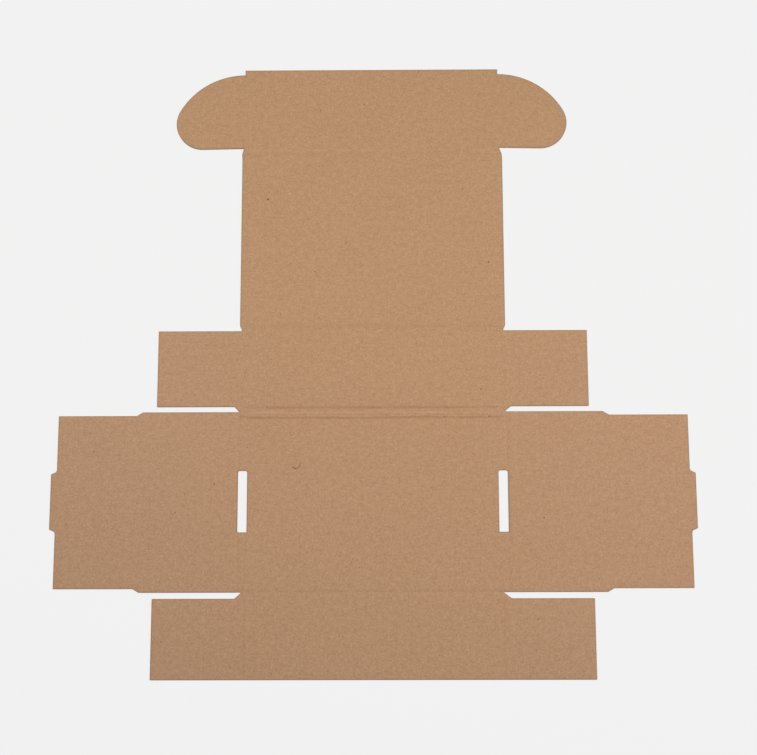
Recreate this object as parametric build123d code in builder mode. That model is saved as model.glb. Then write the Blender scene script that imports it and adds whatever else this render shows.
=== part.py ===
from build123d import *
from math import ceil, cos, floor, radians, sin, tan
import os

# The flat blank of a small mailing box with roll-over side walls and a tuck-in lid, cut
# and creased from one sheet of fluted board. +X runs across the box, +Y from its front
# wall to its tuck flap, and +Z up from the surface that the blank lies on. The origin is
# the middle of the underside. Lengths are millimetres and angles are degrees.

# Inside of the box that the blank folds into
inside_length = 120.0
inside_depth = 80.0
inside_height = 40.0

# Board: two liners glued to a wavy middle sheet, with its flutes along X
board_thickness = 1.6
liner_thickness = 0.25
medium_thickness = 0.22
flute_pitch = 3.37
flute_slope = 45.0
flute_phase = 0.45
trough_flats = 3

# Allowances that turn the inside sizes into panels, from crease to crease
base_side_allowance = 3.2
base_depth_allowance = 0.4
hinge_strip = 5.0
back_wall_reduction = 1.5
lid_length_allowance = 5.5
tuck_length_allowance = 2.9
side_wall_allowance = 1.6
roll_bridge = 6.2
inner_wall_reduction = 2.4

# Lid and tuck flap
lid_side_overhang = 0.15
tuck_side_inset = 1.25
ear_reach = 33.45
ear_drop = 2.45
ear_relief = 2.7
ear_corner_radius = 12.85
ear_notch_inset = 0.85
lid_corner_relief = 1.05

# Dust flaps
back_flap_length = 40.0
back_crease_inset = 1.0
back_flap_top_setback = 1.9
front_flap_length = 42.3
front_crease_inset = 3.0
front_flap_setback = 3.35
front_notch_inset = 1.6

# Side walls
side_wall_back_overrun = 2.8
side_wall_front_overrun = 0.65
inner_wall_step = 1.7
inner_wall_step_run = 2.9
inner_wall_step_past_crease = 0.6

# Lock slots in the base, and the tabs of the inner walls that go into them
slot_width = 4.2
slot_length = 28.3
slot_corner_radius = 0.6
tab_length = 2.7
tab_root_clearance = 0.1
tab_tip_taper = 1.2
tab_root_radius = 1.4
notch_bend_radius = 1.2
step_bend_radius = 1.0

# Creases pressed into the upper face
hinge_crease_width = 2.2
hinge_crease_depth = 0.55
hinge_crease_run_out = 5.0
hinge_crease_overrun = 0.6
cross_crease_width = 2.6
cross_crease_depth = 0.3
side_crease_width = 1.8
side_crease_liner_left = 0.11
crease_crush_margin = 0.5
cut_edge_margin = 0.5

# Lines across the blank, counted up from the edge of the front wall
front_wall_height = inside_height
base_depth = inside_depth + base_depth_allowance
back_wall_height = inside_height - back_wall_reduction
lid_length = inside_depth + lid_length_allowance
tuck_length = inside_height + tuck_length_allowance
blank_depth = front_wall_height + base_depth + hinge_strip + back_wall_height + lid_length + tuck_length

front_edge = -blank_depth / 2
front_crease = front_edge + front_wall_height
base_crease = front_crease + base_depth
back_crease = base_crease + hinge_strip
lid_crease = back_crease + back_wall_height
tuck_crease = lid_crease + lid_length
tuck_edge = tuck_crease + tuck_length

# Lines along the blank, as distances from its middle
side_crease = inside_length / 2 + base_side_allowance
roll_crease = side_crease + inside_height + side_wall_allowance
inner_crease = roll_crease + roll_bridge
inner_edge = inner_crease + inside_height - inner_wall_reduction
tab_edge = inner_edge + tab_length
lid_side = side_crease + lid_side_overhang
tuck_side = lid_side - tuck_side_inset
ear_edge = tuck_side + ear_reach
back_flap_crease = side_crease - back_crease_inset
back_flap_edge = back_flap_crease + back_flap_length
front_flap_crease = side_crease - front_crease_inset
front_flap_edge = front_flap_crease + front_flap_length

# Edges of the side walls and flaps across the blank
side_wall_back = base_crease + side_wall_back_overrun
side_wall_front = front_crease - side_wall_front_overrun
side_wall_middle = (side_wall_back + side_wall_front) / 2
inner_wall_back = side_wall_back - inner_wall_step
inner_wall_front = side_wall_front + inner_wall_step
step_end = inner_crease + inner_wall_step_past_crease
step_start = step_end - inner_wall_step_run
back_flap_top = lid_crease - back_flap_top_setback
back_notch = back_crease - side_wall_back
front_flap_top = front_crease - front_flap_setback
front_notch_tip = side_crease - front_notch_inset
front_notch = side_wall_front - front_flap_top
ear_top = tuck_edge - ear_drop
ear_bottom = tuck_crease + ear_relief
tab_root = slot_length / 2 - tab_root_clearance
tab_tip = tab_root - tab_tip_taper

# Each ear is one large arc that leaves the tuck flap level and runs into a small one
ear_corner_x = ear_edge - ear_corner_radius
ear_corner_y = ear_bottom + ear_corner_radius
ear_span = ear_corner_x - tuck_side
ear_rise = ear_top - ear_corner_y
ear_radius = (ear_span**2 + ear_rise**2 - ear_corner_radius**2) / (2 * (ear_rise - ear_corner_radius))
ear_centre_y = ear_top - ear_radius
ear_join = Vector(ear_span, ear_corner_y - ear_centre_y).normalized()
ear_join_x = tuck_side + ear_radius * ear_join.X
ear_join_y = ear_centre_y + ear_radius * ear_join.Y
ear_halfway = Vector(ear_join.X, ear_join.Y + 1).normalized()
ear_crown = (tuck_side + ear_radius * ear_halfway.X, ear_centre_y + ear_radius * ear_halfway.Y)

# An air channel beside one bend of the middle sheet: two slopes and a round trough. The
# trough is drawn in a few flats, because the board has some 160 channels.
slope = radians(flute_slope)
channel_height = board_thickness - 2 * liner_thickness
sheet_run = medium_thickness / 2 / sin(slope)
mouth_half = flute_pitch / 4 + channel_height / 2 / tan(slope) - sheet_run
floor_half = flute_pitch / 4 - (channel_height / 2 - medium_thickness) / tan(slope) - sheet_run
mouth_level = channel_height / 2
floor_level = medium_thickness - channel_height / 2
trough_radius = floor_half / tan(slope / 2)
trough_turns = [slope * (2 * flat / trough_flats - 1) for flat in range(trough_flats + 1)]
channel_section = [
    (-mouth_half, mouth_level),
    *(
        (trough_radius * sin(turn), floor_level + trough_radius * (1 - cos(turn)))
        for turn in trough_turns
    ),
    (mouth_half, mouth_level),
]


def channel_middles(low, high, shift):
    """Lists the middles of the channels that lie whole between two lines across the blank."""
    first = ceil((low + mouth_half - shift) / flute_pitch)
    last = floor((high - mouth_half - shift) / flute_pitch)
    return [shift + row * flute_pitch for row in range(first, last + 1)]


def crease_groove(start, end, width, depth):
    """Makes the round-bottomed bar that a crease leaves in the upper face between two points."""
    path = Vector(*end) - Vector(*start)
    radius = (width**2 / 4 + depth**2) / (2 * depth)
    origin = (start[0], start[1], board_thickness - depth + radius)
    with BuildSketch(Plane(origin=origin, x_dir=(-path.Y, path.X, 0), z_dir=(path.X, path.Y, 0))) as bar:
        Circle(radius)
    return extrude(bar.sketch, amount=path.length, mode=Mode.PRIVATE)


with BuildPart() as mailer_blank:
    with BuildSketch() as outline:
        with BuildLine():
            Polyline((0, tuck_edge), (tuck_side, tuck_edge), (tuck_side, ear_top))
            ThreePointArc((tuck_side, ear_top), ear_crown, (ear_join_x, ear_join_y))
            ThreePointArc((ear_join_x, ear_join_y), (ear_edge, ear_corner_y), (ear_corner_x, ear_bottom))
            Polyline(
                (ear_corner_x, ear_bottom),
                (lid_side - ear_notch_inset, ear_bottom),
                (lid_side, tuck_crease),
                (lid_side, lid_crease + lid_corner_relief),
                (back_flap_crease, back_flap_top),
                (back_flap_edge, back_flap_top),
                (back_flap_edge, back_crease),
                (side_crease + back_notch, back_crease),
                (side_crease, side_wall_back),
                (step_start, side_wall_back),
                (step_end, inner_wall_back),
                (inner_edge, inner_wall_back),
                (inner_edge, side_wall_middle + tab_root),
                (tab_edge, side_wall_middle + tab_tip),
                (tab_edge, side_wall_middle - tab_tip),
                (inner_edge, side_wall_middle - tab_root),
                (inner_edge, inner_wall_front),
                (step_end, inner_wall_front),
                (step_start, side_wall_front),
                (front_notch_tip, side_wall_front),
                (front_notch_tip + front_notch, front_flap_top),
                (front_flap_edge, front_flap_top),
                (front_flap_edge, front_edge),
                (0, front_edge),
            )
            mirror(about=Plane.YZ)
        make_face()
        for x, y, radius in (
            (side_crease + back_notch, back_crease, notch_bend_radius),
            (front_notch_tip + front_notch, front_flap_top, notch_bend_radius),
            (step_start, side_wall_back, step_bend_radius),
            (step_end, inner_wall_back, step_bend_radius),
            (step_start, side_wall_front, step_bend_radius),
            (step_end, inner_wall_front, step_bend_radius),
            (inner_edge, side_wall_middle + tab_root, tab_root_radius),
            (inner_edge, side_wall_middle - tab_root, tab_root_radius),
        ):
            for side in (1, -1):
                fillet(outline.vertices().sort_by_distance((side * x, y, 0))[0], radius=radius)
        slot_middle = side_crease - slot_width / 2
        with Locations((slot_middle, side_wall_middle), (-slot_middle, side_wall_middle)):
            RectangleRounded(slot_width, slot_length, slot_corner_radius, mode=Mode.SUBTRACT)
    extrude(amount=board_thickness)

    # The hinge strip between base and back wall has a deep crease along each side, and the
    # one at the base turns up at both ends and runs out into the notches
    turn = side_crease - hinge_crease_run_out
    run_out = (side_crease + hinge_crease_overrun, side_wall_back + hinge_crease_overrun / 2)
    grooves = [
        crease_groove(start, end, hinge_crease_width, hinge_crease_depth)
        for start, end in (
            ((-back_flap_crease, back_crease), (back_flap_crease, back_crease)),
            ((-turn, base_crease), (turn, base_crease)),
            ((turn, base_crease), run_out),
            ((-turn, base_crease), (-run_out[0], run_out[1])),
        )
    ]

    # The other creases across the blank
    grooves += [
        crease_groove((-reach, line), (reach, line), cross_crease_width, cross_crease_depth)
        for line, reach in (
            (tuck_crease, lid_side),
            (lid_crease, back_flap_crease),
            (front_crease, side_crease),
        )
    ]

    # Creases along the blank stay within the upper liner, so the channels pass below them
    side_crease_depth = liner_thickness - side_crease_liner_left
    grooves += [
        crease_groove((side * line, low), (side * line, high), side_crease_width, side_crease_depth)
        for line, low, high in (
            (back_flap_crease, back_crease, back_flap_top),
            (side_crease, side_wall_front, side_wall_back),
            (roll_crease, side_wall_front, side_wall_back),
            (inner_crease, side_wall_front, side_wall_back),
            (front_flap_crease, front_edge, front_flap_top),
        )
        for side in (1, -1)
    ]
    add(grooves, mode=Mode.SUBTRACT)

    # Flutes fill each panel, between the bands that the creases and the cut edges crush
    cross_crush = cross_crease_width / 2 + crease_crush_margin
    hinge_crush = hinge_crease_width / 2 + crease_crush_margin
    fluted_bands = (
        (
            front_edge + cut_edge_margin,
            min(front_flap_top - cut_edge_margin, front_crease - cross_crush),
        ),
        (
            max(inner_wall_front + cut_edge_margin, front_crease + cross_crush),
            min(inner_wall_back - cut_edge_margin, base_crease - hinge_crush),
        ),
        (back_crease + hinge_crush, min(back_flap_top - cut_edge_margin, lid_crease - cross_crush)),
        (lid_crease + cross_crush, tuck_crease - cross_crush),
        (max(ear_bottom + cut_edge_margin, tuck_crease + cross_crush), ear_top - cut_edge_margin),
    )
    flute_reach = tab_edge + board_thickness
    with BuildSketch(Plane.YZ.offset(-flute_reach)):
        for side, shift in ((1, flute_phase), (-1, flute_phase + flute_pitch / 2)):
            middles = [
                (middle, board_thickness / 2)
                for low, high in fluted_bands
                for middle in channel_middles(low, high, shift)
            ]
            with Locations(*middles):
                Polygon(*((across, side * level) for across, level in channel_section), align=None)
    extrude(amount=2 * flute_reach, mode=Mode.SUBTRACT)

mailer_blank.part.label = "mailer_blank"

os.makedirs("parts", exist_ok=True)
export_step(mailer_blank.part, "parts/mailer_blank.step")
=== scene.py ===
"""Studio scene of the flat die-cut blank of a small mailing box.

The blank lies on a pale floor as it comes to rest. It is made of three sheets of paper: an
upper liner with the creases pressed into it, a wavy middle sheet and a lower liner. Sizes
are in millimetres until a mesh is written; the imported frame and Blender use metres.
"""

import logging
import math
import operator
from collections.abc import Iterable, Iterator
from dataclasses import dataclass, field
from enum import Enum
from functools import reduce

import bpy
import numpy as np
from mathutils import Matrix, Vector
from mathutils.geometry import delaunay_2d_cdt


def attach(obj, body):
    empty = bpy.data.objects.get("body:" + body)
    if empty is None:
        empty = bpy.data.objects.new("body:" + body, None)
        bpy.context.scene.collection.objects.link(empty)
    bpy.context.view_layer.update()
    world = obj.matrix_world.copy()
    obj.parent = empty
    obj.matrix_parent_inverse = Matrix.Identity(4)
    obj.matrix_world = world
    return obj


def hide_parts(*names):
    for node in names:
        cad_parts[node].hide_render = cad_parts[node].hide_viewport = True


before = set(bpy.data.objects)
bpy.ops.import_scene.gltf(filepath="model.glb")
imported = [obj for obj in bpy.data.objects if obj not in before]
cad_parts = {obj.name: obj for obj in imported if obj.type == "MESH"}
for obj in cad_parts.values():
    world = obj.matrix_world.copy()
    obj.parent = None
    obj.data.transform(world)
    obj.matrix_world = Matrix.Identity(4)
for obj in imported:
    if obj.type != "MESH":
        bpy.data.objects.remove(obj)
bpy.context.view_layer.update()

CAD_NODE = "mailer_blank"
BODY = "root"
MM = 0.001
FULL_TURN = 2 * math.pi
TINY = 1e-6
# How many points are measured at a time, so that the tables stay small.
BATCH = 1500
# Added to the end of a range of places so that the last one counts, in millimetres.
PAST_END = 0.1
# How far the rows of the wavy sheet are drawn past the blank, in millimetres.
ROW_OVERHANG = 5.0
# Edges that fold more sharply than this are shaded as sharp.
SHEET_FOLD = math.radians(35)
WAVE_FOLD = math.radians(40)
# How far a paper's pattern moves from one layer to the next, so that no two are alike.
LAYER_STEPS = (3.7, 1.9, 1.0)
PAPER_SHINE = 0.25

log = logging.getLogger("mailer_blank")

Point = tuple[float, float]
Colour = tuple[float, float, float]


class Face(Enum):
    """The two outer faces of the board."""

    UPPER = "upper"
    LOWER = "lower"


class Run(Enum):
    """Which way a crease runs over the blank."""

    ACROSS = "across"
    ALONG = "along"


def linear(red: float, green: float, blue: float) -> Colour:
    """Turns a colour of 0 to 255 as a screen shows it into linear light.

    Args:
        red: Red of the screen colour.
        green: Green of the screen colour.
        blue: Blue of the screen colour.

    Returns:
        The three linear values, each 0 to 1.
    """
    toe, knee, lift, power = 12.92, 0.04045, 0.055, 2.4

    def one(value: float) -> float:
        """Turns one value of the colour."""
        share = value / 255
        return share / toe if share <= knee else ((share + lift) / (1 + lift)) ** power

    return one(red), one(green), one(blue)


def smooth(values: np.ndarray, low: float, high: float) -> np.ndarray:
    """Rises smoothly from 0 at low to 1 at high, or falls where low is the larger."""
    share = np.clip((values - low) / (high - low), 0, 1)
    return share * share * (3 - 2 * share)


def bump(distance: np.ndarray, width: float) -> np.ndarray:
    """A rounded hump, 1 in its middle and 0 past half its width."""
    share = np.clip(1 - (2 * distance / width) ** 2, 0, 1)
    return share * share


def fold(distance: np.ndarray, width: float) -> np.ndarray:
    """A hump that narrows to a line, 1 in its middle and 0 past half its width."""
    blunt, power = 0.1, 1.7
    return np.clip(1 - np.hypot(2 * distance / width, blunt) + blunt, 0, 1) ** power


def batches(count: int) -> Iterator[slice]:
    """Cuts a long list of points into parts, which are worked through in turn."""
    return (slice(low, low + BATCH) for low in range(0, count, BATCH))


def crossings(columns: np.ndarray, rows: np.ndarray) -> np.ndarray:
    """Lists the points where columns and rows cross, one row each."""
    return np.array(np.meshgrid(columns, rows)).reshape(2, -1).T


def edges_of(loops: list[np.ndarray]) -> tuple[np.ndarray, np.ndarray]:
    """Lists where the edges of closed loops start and where they end."""
    return np.vstack(loops), np.vstack([np.roll(loop, -1, axis=0) for loop in loops])


def held(points: np.ndarray, starts: np.ndarray, ends: np.ndarray) -> np.ndarray:
    """Tells which points closed loops hold, where a loop inside another is a hole.

    Args:
        points: Points of the plan, one row each.
        starts: Where the loops' edges start.
        ends: Where the loops' edges end.

    Returns:
        True for each point that is held.
    """
    spans = (starts[:, 1] > points[:, 1:]) != (ends[:, 1] > points[:, 1:])
    with np.errstate(divide="ignore", invalid="ignore"):
        share = (points[:, 1:] - starts[:, 1]) / (ends[:, 1] - starts[:, 1])
        cross = starts[:, 0] + share * (ends[:, 0] - starts[:, 0])
    return np.sum(spans & (points[:, :1] < cross), axis=1) % 2 == 1


# The blank's plan.


@dataclass(frozen=True)
class Corner:
    """A corner of the outline, with the radius that the cutting rule leaves on it."""

    x: float
    y: float
    radius: float = 0.0


@dataclass(frozen=True)
class BlankLines:
    """Where the blank's edges and creases run, in millimetres from its middle."""

    front_edge: float = -146.15
    front_crease: float = -106.15
    base_crease: float = -25.75
    back_crease: float = -20.75
    lid_crease: float = 17.75
    tuck_crease: float = 103.25
    tuck_edge: float = 146.15
    side_crease: float = 63.2
    roll_crease: float = 104.8
    inner_crease: float = 111.0
    inner_edge: float = 148.6
    tab_edge: float = 151.3
    lid_side: float = 63.35
    tuck_side: float = 62.1
    ear_edge: float = 95.55
    ear_top: float = 143.7
    ear_bottom: float = 106.05
    ear_foot: float = 106.4
    ear_corner_radius: float = 12.85
    ear_notch: float = 62.2
    lid_corner: float = 18.3
    back_flap_crease: float = 62.2
    back_flap_edge: float = 102.2
    back_flap_top: float = 15.85
    back_flap_bottom: float = -20.5
    back_notch: float = 65.4
    front_flap_crease: float = 60.2
    front_flap_edge: float = 102.5
    front_flap_top: float = -109.65
    front_notch: float = 64.3
    front_notch_tip: float = 61.2
    side_wall_back: float = -22.95
    side_wall_front: float = -106.8
    inner_wall_back: float = -24.65
    inner_wall_front: float = -105.1
    step_start: float = 108.7
    step_end: float = 111.6
    tab_root: float = 14.05
    tab_tip: float = 12.85
    slot_inner: float = 59.0
    slot_outer: float = 63.42
    slot_back_end: float = 14.15
    slot_front_end: float = 14.35

    @property
    def side_middle(self) -> float:
        """Middle line of the side walls, their tabs and the lock slots."""
        return (self.side_wall_back + self.side_wall_front) / 2


@dataclass(frozen=True)
class Roundings:
    """How round the cutting rule leaves each kind of corner, in millimetres."""

    flap_corner: float = 0.25
    ear_foot: float = 0.5
    lid_top: float = 1.5
    lid_foot: float = 0.6
    back_flap_root: float = 0.4
    back_notch: float = 1.8
    notch_tip: float = 0.12
    wall_step: float = 1.0
    tab_root: float = 1.4
    tab_tip: float = 0.4
    front_notch: float = 1.4
    slot_back: float = 0.8
    slot_front: float = 0.45


@dataclass(frozen=True)
class Board:
    """The build of the board, in millimetres."""

    thickness: float = 1.6
    liner: float = 0.25
    medium: float = 0.22
    pitch: float = 3.37
    crest: float = 2.135
    crest_relief: float = 0.006
    edge_crush: float = 0.28
    edge_crush_reach: float = 0.9
    glue: float = 0.01


@dataclass
class Outline:
    """The cut outline of the blank: one outer loop and the two lock slots."""

    lines: BlankLines = field(default_factory=BlankLines)
    roundings: Roundings = field(default_factory=Roundings)
    spacing: float = 1.5
    arc_step: float = math.radians(4)
    corner_step: float = math.radians(15)
    mitre_least: float = 0.6
    tuck_shift: float = 0.35
    tuck_shift_blend: float = 3.0
    right_notch_reach: float = 0.7
    loops: list[np.ndarray] = field(init=False)

    def __post_init__(self) -> None:
        """Draws the loops from the lines."""
        at = self.lines
        left = [Corner(-c.x, c.y, c.radius) for c in reversed(self.half(0.0))]
        outer = self.divided(self.rounded(self.half(self.right_notch_reach) + left))
        tuck = smooth(outer[:, 1], at.tuck_crease - self.tuck_shift_blend, at.ear_bottom)
        outer[:, 0] -= self.tuck_shift * tuck
        self.loops = [outer, self.slot(1), self.slot(-1)]

    def half(self, reach: float) -> list[Corner]:
        """Lists the corners of the right half, clockwise from the tuck flap's edge.

        Args:
            reach: How much further in than the lines the tips of the notches are cut.

        Returns:
            The corners in order.
        """
        at, cut = self.lines, self.roundings
        middle = at.side_middle
        return [
            Corner(at.tuck_side, at.tuck_edge, cut.flap_corner),
            Corner(at.tuck_side, at.ear_top),
            *(Corner(x, y) for x, y in self.ear()),
            Corner(at.ear_notch, at.ear_foot, cut.ear_foot),
            Corner(at.lid_side, at.tuck_crease, cut.lid_top),
            Corner(at.lid_side, at.lid_corner, cut.lid_foot),
            Corner(at.back_flap_crease, at.back_flap_top, cut.back_flap_root),
            Corner(at.back_flap_edge, at.back_flap_top, cut.flap_corner),
            Corner(at.back_flap_edge, at.back_flap_bottom, cut.flap_corner),
            Corner(at.back_notch, at.back_flap_bottom, cut.back_notch),
            Corner(at.side_crease - reach, at.side_wall_back, cut.notch_tip),
            Corner(at.step_start, at.side_wall_back, cut.wall_step),
            Corner(at.step_end, at.inner_wall_back, cut.wall_step),
            Corner(at.inner_edge, at.inner_wall_back, cut.flap_corner),
            Corner(at.inner_edge, middle + at.tab_root, cut.tab_root),
            Corner(at.tab_edge, middle + at.tab_tip, cut.tab_tip),
            Corner(at.tab_edge, middle - at.tab_tip, cut.tab_tip),
            Corner(at.inner_edge, middle - at.tab_root, cut.tab_root),
            Corner(at.inner_edge, at.inner_wall_front, cut.flap_corner),
            Corner(at.step_end, at.inner_wall_front, cut.wall_step),
            Corner(at.step_start, at.side_wall_front, cut.wall_step),
            Corner(at.front_notch_tip - reach, at.side_wall_front, cut.notch_tip),
            Corner(at.front_notch, at.front_flap_top, cut.front_notch),
            Corner(at.front_flap_edge, at.front_flap_top, cut.flap_corner),
            Corner(at.front_flap_edge, at.front_edge, cut.flap_corner),
        ]

    def ear(self) -> list[Point]:
        """Draws the ear's two arcs.

        Returns:
            Points from the tuck flap's step to the ear's foot.
        """
        at = self.lines
        radius = at.ear_corner_radius
        corner_x, corner_y = at.ear_edge - radius, at.ear_bottom + radius
        span, rise = corner_x - at.tuck_side, at.ear_top - corner_y
        large = (span**2 + rise**2 - radius**2) / (2 * (rise - radius))
        centre_y = at.ear_top - large
        join = math.atan2(corner_y - centre_y, span)
        points = self.arc(at.tuck_side, centre_y, large, math.pi / 2, join)
        return points + self.arc(corner_x, corner_y, radius, join, -math.pi / 2)[1:]

    def arc(self, x: float, y: float, radius: float, start: float, end: float) -> list[Point]:
        """Draws an arc about a centre, between two angles.

        Args:
            x: The centre's place across the blank.
            y: The centre's place along it.
            radius: The arc's radius.
            start: The first angle.
            end: The last angle.

        Returns:
            The arc's points in order.
        """
        steps = max(2, math.ceil(abs(end - start) / min(self.arc_step, self.spacing / radius)))
        turns = [start + (end - start) * i / steps for i in range(steps + 1)]
        return [(x + radius * math.cos(turn), y + radius * math.sin(turn)) for turn in turns]

    def slot(self, side: int) -> np.ndarray:
        """Draws one lock slot, whose ends differ a little in how round they are.

        Args:
            side: 1 for the right slot, -1 for the left one.

        Returns:
            The loop's points, one row each.
        """
        at, cut = self.lines, self.roundings
        back, front = at.side_middle + at.slot_back_end, at.side_middle - at.slot_front_end
        corners = [
            Corner(side * at.slot_inner, back, cut.slot_back),
            Corner(side * at.slot_outer, back, cut.slot_back),
            Corner(side * at.slot_outer, front, cut.slot_front),
            Corner(side * at.slot_inner, front, cut.slot_front),
        ]
        return self.divided(self.rounded(corners[::side]))

    def rounded(self, corners: list[Corner]) -> np.ndarray:
        """Rounds every corner that has a radius.

        Args:
            corners: The closed loop's corners in order.

        Returns:
            The loop's points, one row each.
        """
        points: list[Point] = []
        for i, corner in enumerate(corners):
            if corner.radius <= 0:
                points.append((corner.x, corner.y))
                continue
            here = Vector((corner.x, corner.y))
            before, after = corners[i - 1], corners[(i + 1) % len(corners)]
            back = (Vector((before.x, before.y)) - here).normalized()
            on = (Vector((after.x, after.y)) - here).normalized()
            half = back.angle(on) / 2
            centre = here + (back + on).normalized() * (corner.radius / math.sin(half))
            start = here + back * (corner.radius / math.tan(half)) - centre
            end = here + on * (corner.radius / math.tan(half)) - centre
            first = math.atan2(start.y, start.x)
            swing = math.remainder(math.atan2(end.y, end.x) - first, FULL_TURN)
            steps = max(2, math.ceil(abs(swing) / self.corner_step))
            for step in range(steps + 1):
                turn = first + swing * step / steps
                x = centre.x + corner.radius * math.cos(turn)
                y = centre.y + corner.radius * math.sin(turn)
                points.append((x, y))
        return np.array(points)

    def divided(self, points: np.ndarray) -> np.ndarray:
        """Divides a loop's long sides so that no two points are further apart than spacing.

        Args:
            points: The loop's points, one row each.

        Returns:
            The points of the divided loop.
        """
        rows = []
        for here, there in zip(points, np.roll(points, -1, axis=0)):
            length = np.linalg.norm(there - here)
            parts = math.ceil(length / self.spacing) if length > TINY else 0
            rows += [here + (there - here) * part / parts for part in range(parts)]
        return np.array(rows)

    def inset(self, depth: float) -> list[np.ndarray]:
        """Moves every loop into the board by a depth.

        Args:
            depth: How far the points move from the cut edge.

        Returns:
            One array of points for each loop, in the loops' order.
        """
        moved = []
        for number, loop in enumerate(self.loops):
            after = np.roll(loop, -1, axis=0)
            ahead = after - loop
            normals = np.column_stack([ahead[:, 1], -ahead[:, 0]])
            normals /= np.linalg.norm(normals, axis=1)[:, None]
            area = np.sum(loop[:, 0] * after[:, 1] - after[:, 0] * loop[:, 1])
            inward = np.sign(-area) * (1 if number == 0 else -1)
            mitre = normals + np.roll(normals, 1, axis=0)
            squares = np.sum(mitre * mitre, axis=1)[:, None]
            mitre /= np.maximum(squares / 2, self.mitre_least)
            moved.append(loop + inward * depth * mitre)
        return moved

    def nearest(self, points: np.ndarray) -> tuple[np.ndarray, np.ndarray]:
        """Measures how deep each point lies in the board, and how its nearest edge runs.

        Args:
            points: Points of the plan, one row each.

        Returns:
            The distance to the nearest cut edge, negative outside the board, and how far that
            edge runs along X, from 0 to 1.
        """
        starts, ends = edges_of(self.loops)
        runs = ends - starts
        squares = np.maximum(np.sum(runs * runs, axis=1), TINY**2)
        along = np.abs(runs[:, 0]) / np.sqrt(squares)
        depth, lie = np.empty(len(points)), np.empty(len(points))
        for part in batches(len(points)):
            offset_x = points[part, :1] - starts[:, 0]
            offset_y = points[part, 1:] - starts[:, 1]
            share = np.clip((offset_x * runs[:, 0] + offset_y * runs[:, 1]) / squares, 0, 1)
            gap = (offset_x - share * runs[:, 0]) ** 2 + (offset_y - share * runs[:, 1]) ** 2
            sign = np.where(held(points[part], starts, ends), 1, -1)
            depth[part] = np.sqrt(gap.min(axis=1)) * sign
            lie[part] = along[gap.argmin(axis=1)]
        return depth, lie

    def depth(self, points: np.ndarray) -> np.ndarray:
        """Measures how deep each point lies in the board, negative where it lies outside."""
        return self.nearest(points)[0]


# Creases and the relief of the sheets.


@dataclass(frozen=True)
class Crease:
    """One crease pressed into the upper face, or a ridge where the depth is negative.

    The wander is how far the line strays to each side, and the unevenness is the share by
    which its depth changes along it. Both come and go in long and short waves. The line may
    be turned up toward its left and right ends.
    """

    run: Run
    line: float
    start: float
    end: float
    width: float
    depth: float
    fade: float = 1.5
    turns_up: tuple[float, float] = (0.0, 0.0)
    turn_from: float = 0.0
    turn_power: float = 1.7
    turn_most: float = 1.3
    wander: float = 0.05
    wander_waves: tuple[float, float] = (9.7, 23.0)
    wander_start: float = 1.3
    unevenness: float = 0.15
    depth_waves: tuple[float, float] = (6.1, 3.3)
    marks_underside: bool = True

    def reach(self, points: np.ndarray) -> tuple[np.ndarray, np.ndarray]:
        """Finds how far points lie from the crease and how strongly it is pressed there.

        Args:
            points: Points of the plan, one row each.

        Returns:
            The distance from the crease's line, and the strength from 0 to 1.
        """
        along, across = (0, 1) if self.run is Run.ACROSS else (1, 0)
        on = points[:, along]
        short, long = self.wander_waves
        strays = self.wander * np.sin(on / short + self.line)
        line = self.line + strays * np.sin(on / long + self.wander_start)
        rise, slope = self.turned(on)
        distance = (points[:, across] - line - rise) / np.sqrt(1 + slope**2)
        strength = smooth(on, self.start - self.fade / 2, self.start + self.fade / 2)
        strength = strength * smooth(on, self.end + self.fade / 2, self.end - self.fade / 2)
        long, short = self.depth_waves
        waves = np.sin(on / long + 2 * self.line) + np.sin(on / short - self.line)
        return distance, strength * (1 + self.unevenness * waves / 2)

    def turned(self, on: np.ndarray) -> tuple[np.ndarray, np.ndarray]:
        """Finds how far the line is turned up toward its ends, and how steep it is there.

        Args:
            on: Places along the crease.

        Returns:
            The rise and the slope at each place.
        """
        full = np.where(on < 0, *self.turns_up)
        span = self.end - self.turn_from
        share = np.clip((np.abs(on) - self.turn_from) / span, 0, self.turn_most)
        power = self.turn_power
        return full * share**power, full * power * share ** (power - 1) / span

    def near(self, points: np.ndarray, margin: float) -> np.ndarray:
        """Tells which points lie on the crease or within a margin of it."""
        distance, strength = self.reach(points)
        return (np.abs(distance) < self.width / 2 + margin) & (strength > 0)


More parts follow.
